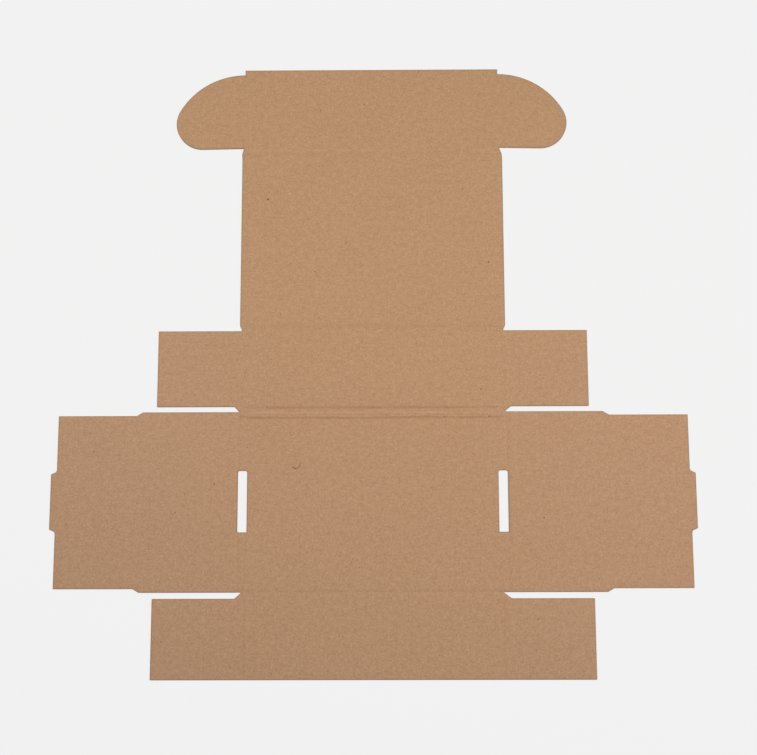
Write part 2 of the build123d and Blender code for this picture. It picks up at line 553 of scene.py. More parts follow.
@dataclass
class Relief:
    """The heights of the four paper faces over the blank.

    The real creases lie a little beside the lines of the drawing. The fields that end in
    shift say how far.
    """

    outline: Outline
    board: Board = field(default_factory=Board)
    back_shift: float = -0.25
    base_shift: float = -0.15
    lid_shift: float = 0.15
    tuck_shift: float = 0.2
    tuck_ridge_shift: float = 1.7
    front_shift: float = -0.4
    along_shift: float = 0.4
    inner_shift: float = -0.6
    side_ridge_shift: float = -1.4
    hinge_ends: tuple[float, float] = (-61.6, 60.8)
    hinge_overlap: tuple[float, float] = (35.0, 36.0)
    wrinkle_ends: tuple[float, float] = (-58.5, 57.0)
    wrinkles: tuple[tuple[float, float, float], ...] = (
        (-21.9, 0.9, 0.06),
        (-23.4, 0.95, -0.07),
        (-24.4, 0.9, 0.12),
    )
    pressed_most: float = 0.7
    raised_most: float = 0.1
    # Depths at which the painted shade of a crease and the painted highlight of a ridge are full.
    full_shade: float = 0.5
    full_ridge_highlight: float = 0.07
    shoulder: float = 0.045
    shoulder_width: float = 4.6
    shoulder_away: float = 3.4
    shoulder_fade: float = 6.0
    groove: float = 0.05
    groove_width: float = 1.1
    groove_away: float = 0.4
    underside_crush: float = 0.45
    shut_reach: tuple[float, float] = (0.55, 0.05)
    shut_power: int = 6
    creases: list[Crease] = field(init=False)

    def __post_init__(self) -> None:
        """Lays out the creases."""
        self.creases = self.hinge() + self.cross_creases()
        self.creases += self.long_creases(1) + self.long_creases(-1)

    def hinge(self) -> list[Crease]:
        """Lays the two hinge creases and the faint uneven lines in the strip between them.

        Returns:
            The creases, of which the upper one changes its width on the way.
        """
        at = self.outline.lines
        back, base = at.back_crease + self.back_shift, at.base_crease + self.base_shift
        left, right = self.hinge_ends
        narrow_from, wide_to = self.hinge_overlap
        worn = {"fade": 3.0, "unevenness": 0.2}
        creases = [
            self.across(back, left, wide_to, width=2.2, depth=0.41, **worn),
            self.across(back, narrow_from, right, width=1.5, depth=0.33, **worn),
            self.across(
                base,
                -at.side_crease,
                at.side_crease,
                width=1.8,
                depth=0.38,
                fade=2.0,
                turns_up=(1.1, 0.45),
                turn_from=56.5,
                wander=0.18,
                unevenness=0.18,
            ),
        ]
        uneven = {"fade": 6.0, "wander": 0.12, "unevenness": 0.8, "marks_underside": False}
        for line, width, depth in self.wrinkles:
            creases.append(self.across(line, *self.wrinkle_ends, width, depth, **uneven))
        return creases

    def cross_creases(self) -> list[Crease]:
        """Lays the other creases across the blank, each from edge to edge of its panel.

        Returns:
            The creases from the lid to the front wall.
        """
        at = self.outline.lines
        tuck, ridge = at.tuck_crease + self.tuck_shift, at.tuck_crease + self.tuck_ridge_shift
        return [
            self.across(line, -half, half, width, depth)
            for line, half, width, depth in (
                (at.lid_crease + self.lid_shift, at.back_flap_crease, 5.0, 0.19),
                (tuck, at.lid_side, 2.8, 0.13),
                # A low ridge, which the ridge colour also lightens as a painted highlight.
                (ridge, at.lid_side, 2.0, -0.03),
                (at.front_crease + self.front_shift, at.side_crease, 1.7, 0.15),
            )
        ]

    def long_creases(self, side: int) -> list[Crease]:
        """Lays the creases that run along one side, and the low ridge beside the side crease.

        Args:
            side: 1 for the right side, -1 for the left one.

        Returns:
            The creases, with the ridge last.
        """
        at = self.outline.lines
        wall = (at.side_wall_front, at.side_wall_back)
        creases = [
            Crease(Run.ALONG, side * line + self.along_shift, *ends, width, depth)
            for line, ends, width, depth in (
                (at.back_flap_crease, (at.back_crease, at.back_flap_top), 2.2, 0.08),
                (at.side_crease, wall, 1.9, 0.16),
                (at.roll_crease, wall, 2.2, 0.06),
                (at.inner_crease + self.inner_shift, wall, 3.2, 0.07),
                (at.front_flap_crease, (at.front_edge, at.front_flap_top), 1.9, 0.17),
            )
        ]
        # The low ridge beside the side crease also gets the painted highlight of the ridge
        # colour.
        ridge = side * at.side_crease + self.along_shift + self.side_ridge_shift
        return [*creases, Crease(Run.ALONG, ridge, *wall, width=1.6, depth=-0.025)]

    @staticmethod
    def across(
        line: float, start: float, end: float, width: float, depth: float, **more: object
    ) -> Crease:
        """Lays one crease across the blank."""
        return Crease(Run.ACROSS, line, start, end, width, depth, **more)

    def pressed(self, points: np.ndarray) -> np.ndarray:
        """Adds up how deep the creases press the upper face down.

        Args:
            points: Points of the plan, one row each.

        Returns:
            The depth at each point, negative on a ridge.
        """
        total = np.zeros(len(points))
        for crease in self.creases:
            distance, strength = crease.reach(points)
            total += crease.depth * strength * fold(distance, crease.width)
        return np.clip(total, -self.raised_most, self.pressed_most)

    def crease_shade(self, points: np.ndarray) -> np.ndarray:
        """Measures how far points are down in a crease or up on a ridge, for painted shading.

        Args:
            points: Points of the plan, one row each.

        Returns:
            The share at each point, at most 1 in a crease and at least -1 on a ridge.
        """
        pressed = self.pressed(points)
        full = np.where(pressed > 0, self.full_shade, self.full_ridge_highlight)
        return np.clip(pressed / full, -1, 1)

    def shoulders(self, points: np.ndarray) -> np.ndarray:
        """Measures the swelling beside the hinge creases, where the board is pushed aside.

        Args:
            points: Points of the plan, one row each.

        Returns:
            How far the upper face swells at each point.
        """
        at = self.outline.lines
        within = smooth(np.abs(points[:, 0]), at.side_crease, at.side_crease - self.shoulder_fade)
        back = bump(points[:, 1] - at.back_crease - self.shoulder_away, self.shoulder_width)
        front = bump(points[:, 1] - at.base_crease + self.shoulder_away, self.shoulder_width)
        return self.shoulder * within * (back + front)

    def ribs(self, points: np.ndarray, turn: float) -> np.ndarray:
        """How far a face falls back between the flutes' crests, which a turn moves along."""
        turns = FULL_TURN * (points[:, 1] - self.board.crest) / self.board.pitch
        return self.board.crest_relief * (1 - np.cos(turns + turn))

    def crushed(self, depth: np.ndarray) -> np.ndarray:
        """How far the cutting rule has crushed the rim at each depth in the board."""
        return self.board.edge_crush * np.clip(1 - depth / self.board.edge_crush_reach, 0, 1) ** 2

    def upper_face(self, points: np.ndarray, depth: np.ndarray) -> np.ndarray:
        """Height of the board's upper face.

        Args:
            points: Points of the plan, one row each.
            depth: How deep each point lies in the board.

        Returns:
            The heights above the floor.
        """
        height = self.board.thickness - self.ribs(points, 0.0) - self.pressed(points)
        return height + self.shoulders(points) - self.shoulder - self.crushed(depth)

    def lower_face(self, points: np.ndarray, depth: np.ndarray) -> np.ndarray:
        """Height of the board's lower face, with the narrow grooves beside each crease.

        Args:
            points: Points of the plan, one row each.
            depth: How deep each point lies in the board.

        Returns:
            The heights above the floor.
        """
        height = self.ribs(points, math.pi)
        for crease in self.creases:
            if crease.marks_underside:
                distance, strength = crease.reach(points)
                beside = np.abs(distance) - crease.width / 2 - self.groove_away
                height += self.groove * strength * bump(beside, self.groove_width)
        return height + self.underside_crush * self.crushed(depth)

    def closing(self, points: np.ndarray) -> np.ndarray:
        """How far the flutes are crushed shut, at the cut edges that run along them."""
        depth, along = self.outline.nearest(points)
        return smooth(depth, *self.shut_reach) * along**self.shut_power


# Meshes.


@dataclass
class Plan:
    """A triangulated plan of the blank, and the directed edges of its rim."""

    points: np.ndarray
    triangles: np.ndarray
    depth: np.ndarray
    rim: np.ndarray = field(init=False)

    def __post_init__(self) -> None:
        """Finds the rim: the edges that only one triangle has."""
        edges = np.vstack([self.triangles[:, pair] for pair in ((0, 1), (1, 2), (2, 0))])
        ordered = np.sort(edges, axis=1)
        _, first, counts = np.unique(ordered, axis=0, return_index=True, return_counts=True)
        self.rim = edges[first[counts == 1]]

    @classmethod
    def fill(
        cls,
        outline: Outline,
        loops: list[np.ndarray],
        inner: np.ndarray,
        rows: np.ndarray | None = None,
    ) -> "Plan":
        """Fills the loops with triangles.

        Args:
            outline: The outline that depths are measured from.
            loops: The closed loops that bound the plan.
            inner: More points for the triangles to use, inside the loops.
            rows: Lines across the blank that no triangle may cross.

        Returns:
            The plan, with the slots left open.
        """
        places = [Vector(point) for loop in loops for point in loop.tolist()]
        edges: list[tuple[int, int]] = []
        first = 0
        for loop in loops:
            count = len(loop)
            edges += [(first + i, first + (i + 1) % count) for i in range(count)]
            first += count
        places += [Vector(point) for point in inner.tolist()]
        far = outline.lines.tab_edge + ROW_OVERHANG
        for row in [] if rows is None else rows.tolist():
            edges.append((len(places), len(places) + 1))
            places += [Vector((-far, row)), Vector((far, row))]
        found = delaunay_2d_cdt(places, edges, [], 0, TINY, False)
        points = np.array([(v.x, v.y) for v in found[0]])
        triangles = np.array([face for face in found[2] if len(face) == 3])
        middles = points[triangles].mean(axis=1)
        starts, ends = edges_of(loops)
        inside = [held(middles[part], starts, ends) for part in batches(len(middles))]
        used, inverse = np.unique(triangles[np.concatenate(inside)], return_inverse=True)
        points = points[used]
        return cls(points, inverse.reshape(-1, 3), np.maximum(outline.depth(points), 0))


def placed(name: str, data: bpy.types.ID) -> bpy.types.Object:
    """Puts a new object with its data in the scene.

    Args:
        name: Name of the object.
        data: Its mesh, curve, lamp or camera.

    Returns:
        The object, at the origin.
    """
    thing = bpy.data.objects.new(name, data)
    bpy.context.scene.collection.objects.link(thing)
    return thing


def plain_mesh(thing: bpy.types.Object) -> bpy.types.Mesh:
    """Turns what an object shows, with its modifiers, into a plain mesh.

    Args:
        thing: The object.

    Returns:
        The new mesh.
    """
    bpy.context.view_layer.update()
    shown = thing.evaluated_get(bpy.context.evaluated_depsgraph_get())
    return bpy.data.meshes.new_from_object(shown)


def sheet_mesh(name: str, plan: Plan, lower: np.ndarray, upper: np.ndarray) -> bpy.types.Object:
    """Makes a closed sheet between two heights over a plan.

    Args:
        name: Name of the new object.
        plan: The triangulated plan.
        lower: Height of the lower skin at each point, in millimetres.
        upper: Height of the upper skin at each point, in millimetres.

    Returns:
        The object, whose first material covers the skins and whose second the rim.
    """
    count = len(plan.points)
    top = np.column_stack([plan.points, upper]) * MM
    bottom = np.column_stack([plan.points, lower]) * MM
    start, end = plan.rim[:, 0], plan.rim[:, 1]
    walls = np.column_stack([start, start + count, end + count, end])
    faces = plan.triangles.tolist() + (plan.triangles[:, ::-1] + count).tolist() + walls.tolist()
    mesh = bpy.data.meshes.new(name)
    mesh.from_pydata(np.vstack([top, bottom]).tolist(), [], faces)
    material = np.zeros(len(faces), np.int32)
    material[2 * len(plan.triangles) :] = 1
    mesh.polygons.foreach_set("material_index", material)
    mesh.polygons.foreach_set("use_smooth", np.ones(len(faces), bool))
    mesh.update()
    mesh.set_sharp_from_angle(angle=SHEET_FOLD)
    return placed(name, mesh)


def store(piece: bpy.types.Object, name: str, values: np.ndarray) -> None:
    """Keeps one number for each vertex on a piece's mesh."""
    attribute = piece.data.attributes.new(name, "FLOAT", "POINT")
    attribute.data.foreach_set("value", values.astype(np.float32))


def mount(piece: bpy.types.Object) -> None:
    """Hangs a finished board piece on the frame, in place of the plain solid.

    Args:
        piece: The piece, finished and without modifiers.
    """
    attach(piece, BODY)
    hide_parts(CAD_NODE)
    piece.data.calc_loop_triangles()
    log.info("%s: %d triangles", piece.name, len(piece.data.loop_triangles))


# Node graphs.


class Value:
    """A number in a node graph, so that node maths reads as an expression."""

    def __init__(self, graph: "Graph", socket: bpy.types.NodeSocket) -> None:
        """Wraps a socket of a graph."""
        self.graph = graph
        self.socket = socket

    def _maths(self, operation: str, *values: "Value | float") -> "Value":
        """Adds one Math node."""
        links = dict(enumerate(values))
        return self.graph.value("ShaderNodeMath", {"operation": operation}, links)

    def __add__(self, other: "Value | float") -> "Value":
        """Sum."""
        return self._maths("ADD", self, other)

    def __sub__(self, other: "Value | float") -> "Value":
        """Difference."""
        return self._maths("SUBTRACT", self, other)

    def __mul__(self, other: "Value | float") -> "Value":
        """Product."""
        return self._maths("MULTIPLY", self, other)

    def __truediv__(self, other: "Value | float") -> "Value":
        """Quotient."""
        return self._maths("DIVIDE", self, other)

    def __pow__(self, other: "Value | float") -> "Value":
        """Power."""
        return self._maths("POWER", self, other)

    def __radd__(self, other: float) -> "Value":
        """Sum with a plain number before it."""
        return self._maths("ADD", other, self)

    def __rsub__(self, other: float) -> "Value":
        """Difference from a plain number."""
        return self._maths("SUBTRACT", other, self)

    def __rmul__(self, other: float) -> "Value":
        """Product with a plain number before it."""
        return self._maths("MULTIPLY", other, self)

    def __rtruediv__(self, other: float) -> "Value":
        """A plain number divided by this."""
        return self._maths("DIVIDE", other, self)

    def __abs__(self) -> "Value":
        """Distance from 0."""
        return self._maths("ABSOLUTE", self)

    def sine(self) -> "Value":
        """Sine of an angle in radians."""
        return self._maths("SINE", self)

    def cosine(self) -> "Value":
        """Cosine of an angle in radians."""
        return self._maths("COSINE", self)

    def larger(self, other: "Value | float") -> "Value":
        """The larger of two values."""
        return self._maths("MAXIMUM", self, other)

    def rise(self, low: float, high: float) -> "Value":
        """Rises smoothly from 0 at low to 1 at high, or falls where low is the larger.

        Args:
            low: Where the rise starts.
            high: Where it is done.

        Returns:
            The risen value, from 0 to 1.
        """
        ends = {"Value": self, "From Min": low, "From Max": high}
        if low > high:
            ends.update({"From Min": high, "From Max": low, "To Min": 1.0, "To Max": 0.0})
        return self.graph.value("ShaderNodeMapRange", {"interpolation_type": "SMOOTHSTEP"}, ends)


class Graph:
    """A node tree under construction."""

    def __init__(self, tree: bpy.types.NodeTree) -> None:
        """Starts on an empty tree."""
        self.tree = tree
        tree.nodes.clear()

    def node(
        self,
        kind: str,
        settings: dict[str, object] | None = None,
        links: dict[str | int, object] | None = None,
    ) -> bpy.types.Node:
        """Adds a node, sets it and fills its sockets.

        Args:
            kind: The node's type.
            settings: Its properties, which are set first.
            links: Values or sockets for its inputs, by name or number.

        Returns:
            The new node.
        """
        node = self.tree.nodes.new(kind)
        for name, setting in (settings or {}).items():
            setattr(node, name, setting)
        for key, given in (links or {}).items():
            source = given.socket if isinstance(given, Value) else given
            if isinstance(source, bpy.types.NodeSocket):
                self.tree.links.new(source, node.inputs[key])
            else:
                node.inputs[key].default_value = source
        return node

    def value(
        self,
        kind: str,
        settings: dict[str, object] | None = None,
        links: dict[str | int, object] | None = None,
        output: str | int = 0,
    ) -> Value:
        """Adds a node and wraps one of its outputs."""
        return Value(self, self.node(kind, settings, links).outputs[output])

    def blend(self, share: Value | float, first: object, second: object) -> Value:
        """Mixes two colours.

        Args:
            share: How much of the second colour there is.
            first: The first colour.
            second: The second colour.

        Returns:
            The mixed colour.
        """
        colours = {0: share}
        for key, colour in ((6, first), (7, second)):
            colours[key] = (*colour, 1.0) if isinstance(colour, tuple) else colour
        return self.value("ShaderNodeMix", {"data_type": "RGBA"}, colours, 2)

    def kept(self, name: str) -> Value:
        """Reads a number that is kept for each vertex of the mesh."""
        return self.value("ShaderNodeAttribute", {"attribute_name": name}, output="Fac")

    def end_mixed(
        self, kind: str, share: Value, first: bpy.types.Node, second: bpy.types.Node
    ) -> None:
        """Ends the tree in a mix of two shaders.

        Args:
            kind: Type of the output node.
            share: How much of the second shader there is.
            first: The first shader.
            second: The second shader.
        """
        links = {0: share, 1: first.outputs[0], 2: second.outputs[0]}
        mixed = self.node("ShaderNodeMixShader", {}, links)
        self.node(kind, {}, {"Surface": mixed.outputs[0]})


@dataclass(frozen=True)
class Grain:
    """One layer of soft random variation in a paper.

    The size is that of its patches in millimetres. The detail and the roughness say how many
    finer patches it has and how strong they are, and the stretch how many times longer the
    patches are along X and along Y. Grains of different layers differ. The tone and the
    relief are its weights in the paper's lightness and in its fine relief.
    """

    size: float
    detail: float = 0.0
    roughness: float = 0.5
    stretch: tuple[float, float] = (1.0, 1.0)
    layer: float = 0.0
    tone: float = 0.0
    relief: float = 0.0


@dataclass(frozen=True)
class Flecks:
    """Small flecks in a paper, of one colour.

    The cell is the size in millimetres of the patches that hold one fleck each, and the share
    says how many of them do. The stretch is how many times longer than wide a fleck is. The
    ragged share is how much its edge strays, and the core is the share of it that is full.
    """

    cell: float
    radius: float
    share: float
    stretch: float
    layer: float
    colour: Colour
    strength: float
    edge: Grain = Grain(1.6, 1.0, layer=4)
    ragged: float = 0.12
    core: float = 0.45
    smallest: float = 0.5
    share_step: float = 0.01


def weighed(parts: Iterable[tuple[float, Value]]) -> Value:
    """Adds up values, each times its weight, and leaves out those of no weight."""
    return reduce(operator.add, (weight * value for weight, value in parts if weight))


@dataclass
class Finish:
    """A material under construction, with its pattern laid in millimetres."""

    name: str
    material: bpy.types.Material = field(init=False)
    graph: Graph = field(init=False)
    place: Value = field(init=False)

    def __post_init__(self) -> None:
        """Starts the material and its coordinates."""
        self.material = bpy.data.materials.new(self.name)
        self.material.use_nodes = True
        self.graph = Graph(self.material.node_tree)
        spot = self.graph.node("ShaderNodeTexCoord").outputs["Object"]
        self.place = self.graph.value(
            "ShaderNodeVectorMath", {"operation": "SCALE"}, {0: spot, "Scale": 1 / MM}
        )

    def moved(self, scale: tuple[float, float, float], shift: tuple[float, ...]) -> Value:
        """Scales the coordinates and shifts them."""
        links = {0: self.place, 1: scale, 2: shift}
        return self.graph.value("ShaderNodeVectorMath", {"operation": "MULTIPLY_ADD"}, links)

    def noise(self, grain: Grain, layer: float = 0.0) -> Value:
        """Adds one grain, laid about 0.

        Args:
            grain: The grain.
            layer: How many layers it is moved on, so that two papers differ.

        Returns:
            The variation, within about half a unit of 0.
        """
        layer += grain.layer
        scale = (1 / (grain.size * grain.stretch[0]), 1 / (grain.size * grain.stretch[1]), 0.0)
        place = self.moved(scale, tuple(layer * step for step in LAYER_STEPS))
        links = {"Vector": place, "Scale": 1.0, "Detail": grain.detail}
        links["Roughness"] = grain.roughness
        return self.graph.value("ShaderNodeTexNoise", {}, links) - 0.5

    def flecks(self, kind: Flecks, layer: float) -> Value:
        """Scatters small flecks.

        Args:
            kind: The flecks.
            layer: How many layers they are moved on, so that two papers differ.

        Returns:
            1 in a fleck and 0 off it.
        """
        layer += kind.layer
        grain = self.noise(kind.edge, layer)
        scale = (1 / (kind.cell * kind.stretch), 1 / kind.cell, 0.0)
        place = self.moved(scale, (layer, 2 * layer, layer))
        cells = self.graph.node("ShaderNodeTexVoronoi", {}, {"Vector": place, "Scale": 1.0})
        chance = self.graph.node("ShaderNodeSeparateColor", {}, {0: cells.outputs["Color"]})
        pick, growth = (Value(self.graph, chance.outputs[i]) for i in (0, 1))
        chosen = pick.rise(kind.share + kind.share_step, kind.share)
        size = kind.smallest + growth
        distance = Value(self.graph, cells.outputs["Distance"]) / size + kind.ragged * grain
        radius = kind.radius / kind.cell
        return distance.rise(radius, kind.core * radius) * chosen

    def finish(
        self, colour: Value, roughness: Value | float, height: Value, relief: float
    ) -> None:
        """Joins the colour, the roughness and the fine relief in a paper surface.

        Args:
            colour: The base colour.
            roughness: The surface's roughness.
            height: The fine relief, within about half a unit of 0.
            relief: How high one unit of it is, in millimetres.
        """
        links = {"Height": height, "Distance": relief * MM, "Strength": 1.0}
        bumps = self.graph.node("ShaderNodeBump", {}, links)
        inputs = {
            "Base Color": colour,
            "Roughness": roughness,
            "Normal": bumps.outputs["Normal"],
            "Specular IOR Level": PAPER_SHINE,
        }
        shader = self.graph.node("ShaderNodeBsdfPrincipled", {}, inputs)
        self.graph.node("ShaderNodeOutputMaterial", {}, {"Surface": shader.outputs[0]})


@dataclass(frozen=True)
class Mark:
    """A natural spot in the paper: where it is, how large and how dark or pale."""

    x: float
    y: float
    radius: float
    colour: Colour
    strength: float = 0.8
    height: float = 1.55
    core: float = 0.4


DARK = linear(74, 55, 42)
BROWN = linear(120, 88, 62)
PALE = linear(214, 190, 160)

UPPER_MARKS = (
    Mark(-50.6, 80.59, 0.6, DARK, 1.0),
    Mark(-40.05, 83.39, 0.56, PALE, 0.7),
    Mark(-25.31, 125.3, 0.46, BROWN, 0.8),
    Mark(-3.95, 128.36, 0.44, BROWN, 0.85),
    Mark(-12.7, 58.7, 0.44, BROWN, 0.7),
    Mark(-74.31, -56.73, 0.5, BROWN, 0.92),
    Mark(-131.13, -41.37, 0.48, BROWN, 0.7),
    Mark(-59.1, -39.65, 0.58, BROWN, 0.45),
    Mark(-97.6, -128.89, 0.46, BROWN, 0.8),
    Mark(-110.37, -65.71, 0.44, BROWN, 0.7),
    Mark(-92.56, -69.92, 0.48, BROWN, 0.75),
    Mark(-143.32, -75.3, 0.44, BROWN, 0.65),
    Mark(76.0, -118.85, 0.48, BROWN, 0.85),
    Mark(79.8, -72.75, 0.52, BROWN, 0.95),
    Mark(51.34, -12.35, 0.5, BROWN, 0.8),
    Mark(43.76, 85.3, 0.46, BROWN, 0.85),
    Mark(55.97, 49.05, 0.56, BROWN, 1.0),
    Mark(-27.61, 44.81, 0.46, BROWN, 0.9),
    Mark(-43.99, 23.96, 0.42, BROWN, 0.6),
    Mark(-88.22, -61.1, 0.46, BROWN, 0.8),
    Mark(79.79, -38.34, 0.42, BROWN, 0.6),
    Mark(-12.17, -69.96, 0.42, BROWN, 0.6),
    Mark(-53.82, 122.2, 0.42, BROWN, 0.65),
    Mark(34.06, -25.4, 0.58, BROWN, 0.7),
    Mark(54.9, -25.32, 0.6, BROWN, 0.8),
)

LINER_GRAINS = {
    "blotch": Grain(7.5, 3.0, 0.55, layer=1, tone=0.015),
    "grain": Grain(0.78, layer=2, tone=0.108, relief=0.5),
    "mottle": Grain(1.3, 1.0, layer=3, tone=0.088, relief=0.5),
    "spots": Grain(2.6, layer=8, tone=0.045),
    "lengthwise": Grain(0.7, 1.0, 0.5, (7.0, 1.0), 4, tone=0.02, relief=0.4),
    "crosswise": Grain(0.7, 1.0, 0.5, (1.0, 7.0), 5, tone=0.02, relief=0.3),
    "cloud": Grain(28.0, 2.0, layer=6, tone=0.015),
}
LINER_FLECKS = (
    Flecks(5.0, 0.32, 0.2, 1.5, 6, BROWN, 0.3),
    Flecks(6.0, 0.32, 0.15, 1.2, 7, PALE, 0.25),
)


@dataclass(frozen=True)
class LinerFinish:
    """Brown liner paper: soft blotches, fine mottle, long fibres and small flecks."""

    name: str
    face: Face
    tan: Colour = linear(184.5, 147, 114.6)
    yellow: Colour = linear(184.5, 146, 109.7)
    # Painted shade: the crease colour darkens the upper liner down in its creases, where less
    # light reaches.
    crease: Colour = linear(168, 128, 92)
    # Painted highlight: the ridge colour lightens the low ridges, where the bulging paper catches
    # the light.
    ridge: Colour = linear(206, 170, 140)
    # Painted shade: the edge colour darkens the liners in a thin band along their cut edges.
    edge: Colour = linear(154, 126, 102)
    crease_shade_share: float = 0.6
    ridge_highlight_share: float = 0.32
    edge_shade_share: float = 0.65
    edge_shade_reach: tuple[float, float] = (0.6, 0.05)
    blotch_share: float = 1.2
    yellower_along: tuple[float, float] = (-20.0, 140.0)
    tanner_across: tuple[float, float] = (40.0, 110.0)
    tint: Colour = (1.37, 1.0, 0.71)
    underside_layer: float = 9.0
    roughness: float = 0.86
    roughness_change: float = 0.12
    relief: float = 0.012
    marks: tuple[Mark, ...] = ()

    def material(self) -> bpy.types.Material:
        """Builds the material.

        Returns:
            The material, which reads the crease and cut_depth numbers of the mesh.
        """
        paper = Finish(self.name)
        graph = paper.graph
        layer = 0.0 if self.face is Face.UPPER else self.underside_layer
        grains = {name: paper.noise(kind, layer) for name, kind in LINER_GRAINS.items()}
        tone = weighed((kind.tone, grains[name]) for name, kind in LINER_GRAINS.items())
        height = weighed((kind.relief, grains[name]) for name, kind in LINER_GRAINS.items())
        share = self.drift(paper) + self.blotch_share * grains["blotch"]
        colour = self.toned(graph, graph.blend(share, self.tan, self.yellow), tone)
        crease, depth = graph.kept("crease"), graph.kept("cut_depth")
        # Painted shade in the creases.
        colour = graph.blend(crease.rise(0.0, 1.0) * self.crease_shade_share, colour, self.crease)
        # Painted highlight on the ridges.
        colour = graph.blend(crease.rise(0.0, -1.0) * self.ridge_highlight_share, colour, self.ridge)
        # Painted shade along the cut edges.
        colour = graph.blend(depth.rise(*self.edge_shade_reach) * self.edge_shade_share, colour, self.edge)
        for kind in LINER_FLECKS:
            colour = graph.blend(paper.flecks(kind, layer) * kind.strength, colour, kind.colour)
        for mark in self.marks:
            centre = {0: paper.place, 1: (mark.x, mark.y, mark.height)}
            gap = graph.value("ShaderNodeVectorMath", {"operation": "DISTANCE"}, centre, "Value")
            spot = gap.rise(mark.radius, mark.core * mark.radius)
            colour = graph.blend(spot * mark.strength, colour, mark.colour)
        roughness = self.roughness + self.roughness_change * grains["mottle"]
        paper.finish(colour, roughness, height, self.relief)
        return paper.material

    def drift(self, paper: Finish) -> Value:
        """Finds the share of the yellower paper, which grows toward the tuck flap.

        Args:
            paper: The finish under construction.

        Returns:
            The share, which falls off toward the sides.
        """
        place = paper.graph.node("ShaderNodeSeparateXYZ", {}, {0: paper.place}).outputs
        across, along = Value(paper.graph, place[0]), Value(paper.graph, place[1])
        yellower, tanner = along.rise(*self.yellower_along), abs(across).rise(*self.tanner_across)
        return 0.5 + 0.5 * yellower - 0.5 * tanner

    def toned(self, graph: Graph, colour: Value, tone: Value) -> Value:
        """Lightens or darkens a colour and hardly changes its hue on a screen.

        Args:
            graph: The node tree under construction.
            colour: The colour.
            tone: How much lighter it gets, or darker below 0.

        Returns:
            The changed colour.
        """
        links = {0: self.tint, "Scale": tone}
        shift = graph.value("ShaderNodeVectorMath", {"operation": "SCALE"}, links)
        return graph.value("ShaderNodeVectorMath", {"operation": "ADD"}, {0: colour, 1: shift})


@dataclass(frozen=True)
class CutPaperFinish:
    """Bare cut edges and the wavy middle sheet: duller paper with short fibres."""

    name: str
    # Paler than the liner: partly the paler cut fibres, and partly painted light that lifts the
    # cut faces and the middle sheet out of the shade between the liners.
    colour: Colour = linear(206, 172, 140)
    fibre: Colour = linear(184, 149, 118)
    fuzz: Grain = Grain(0.25, 3.0, 0.6, (1.0, 1.0), 21, tone=1.2, relief=1.0)
    strands: Grain = Grain(0.6, 2.0, 0.6, (6.0, 1.0), 22, tone=0.8, relief=0.5)
    fibre_rise: tuple[float, float] = (0.1, 0.9)
    roughness: float = 0.92
    roughness_change: float = 0.08
    relief: float = 0.03

    def material(self) -> bpy.types.Material:
        """Builds the material.

        Returns:
            The material.
        """
        paper = Finish(self.name)
        kinds = (self.fuzz, self.strands)
        grains = [paper.noise(kind) for kind in kinds]
        tone = weighed((kind.tone, grain) for kind, grain in zip(kinds, grains))
        height = weighed((kind.relief, grain) for kind, grain in zip(kinds, grains))
        share = (0.5 + tone).rise(*self.fibre_rise)
        colour = paper.graph.blend(share, self.colour, self.fibre)
        roughness = self.roughness + self.roughness_change * grains[0]
        paper.finish(colour, roughness, height, self.relief)
        return paper.material


@dataclass(frozen=True)
class LooseFibreFinish:
    """A dark stray fibre caught in the paper."""

    name: str
    colour: Colour = linear(92, 66, 45)
    grain: Grain = Grain(0.4, 2.0, layer=31)
    brown_rise: tuple[float, float] = (0.3, 1.0)
    roughness: float = 0.7
    roughness_change: float = 0.1
    relief: float = 0.01

    def material(self) -> bpy.types.Material:
        """Builds the material.

        Returns:
            The material.
        """
        strand = Finish(self.name)
        grain = strand.noise(self.grain)
        share = (grain + 0.5).rise(*self.brown_rise)
        colour = strand.graph.blend(share, self.colour, BROWN)
        roughness = self.roughness + self.roughness_change * grain
        strand.finish(colour, roughness, grain, self.relief)
        return strand.material


# The three sheets and the stray fibre.


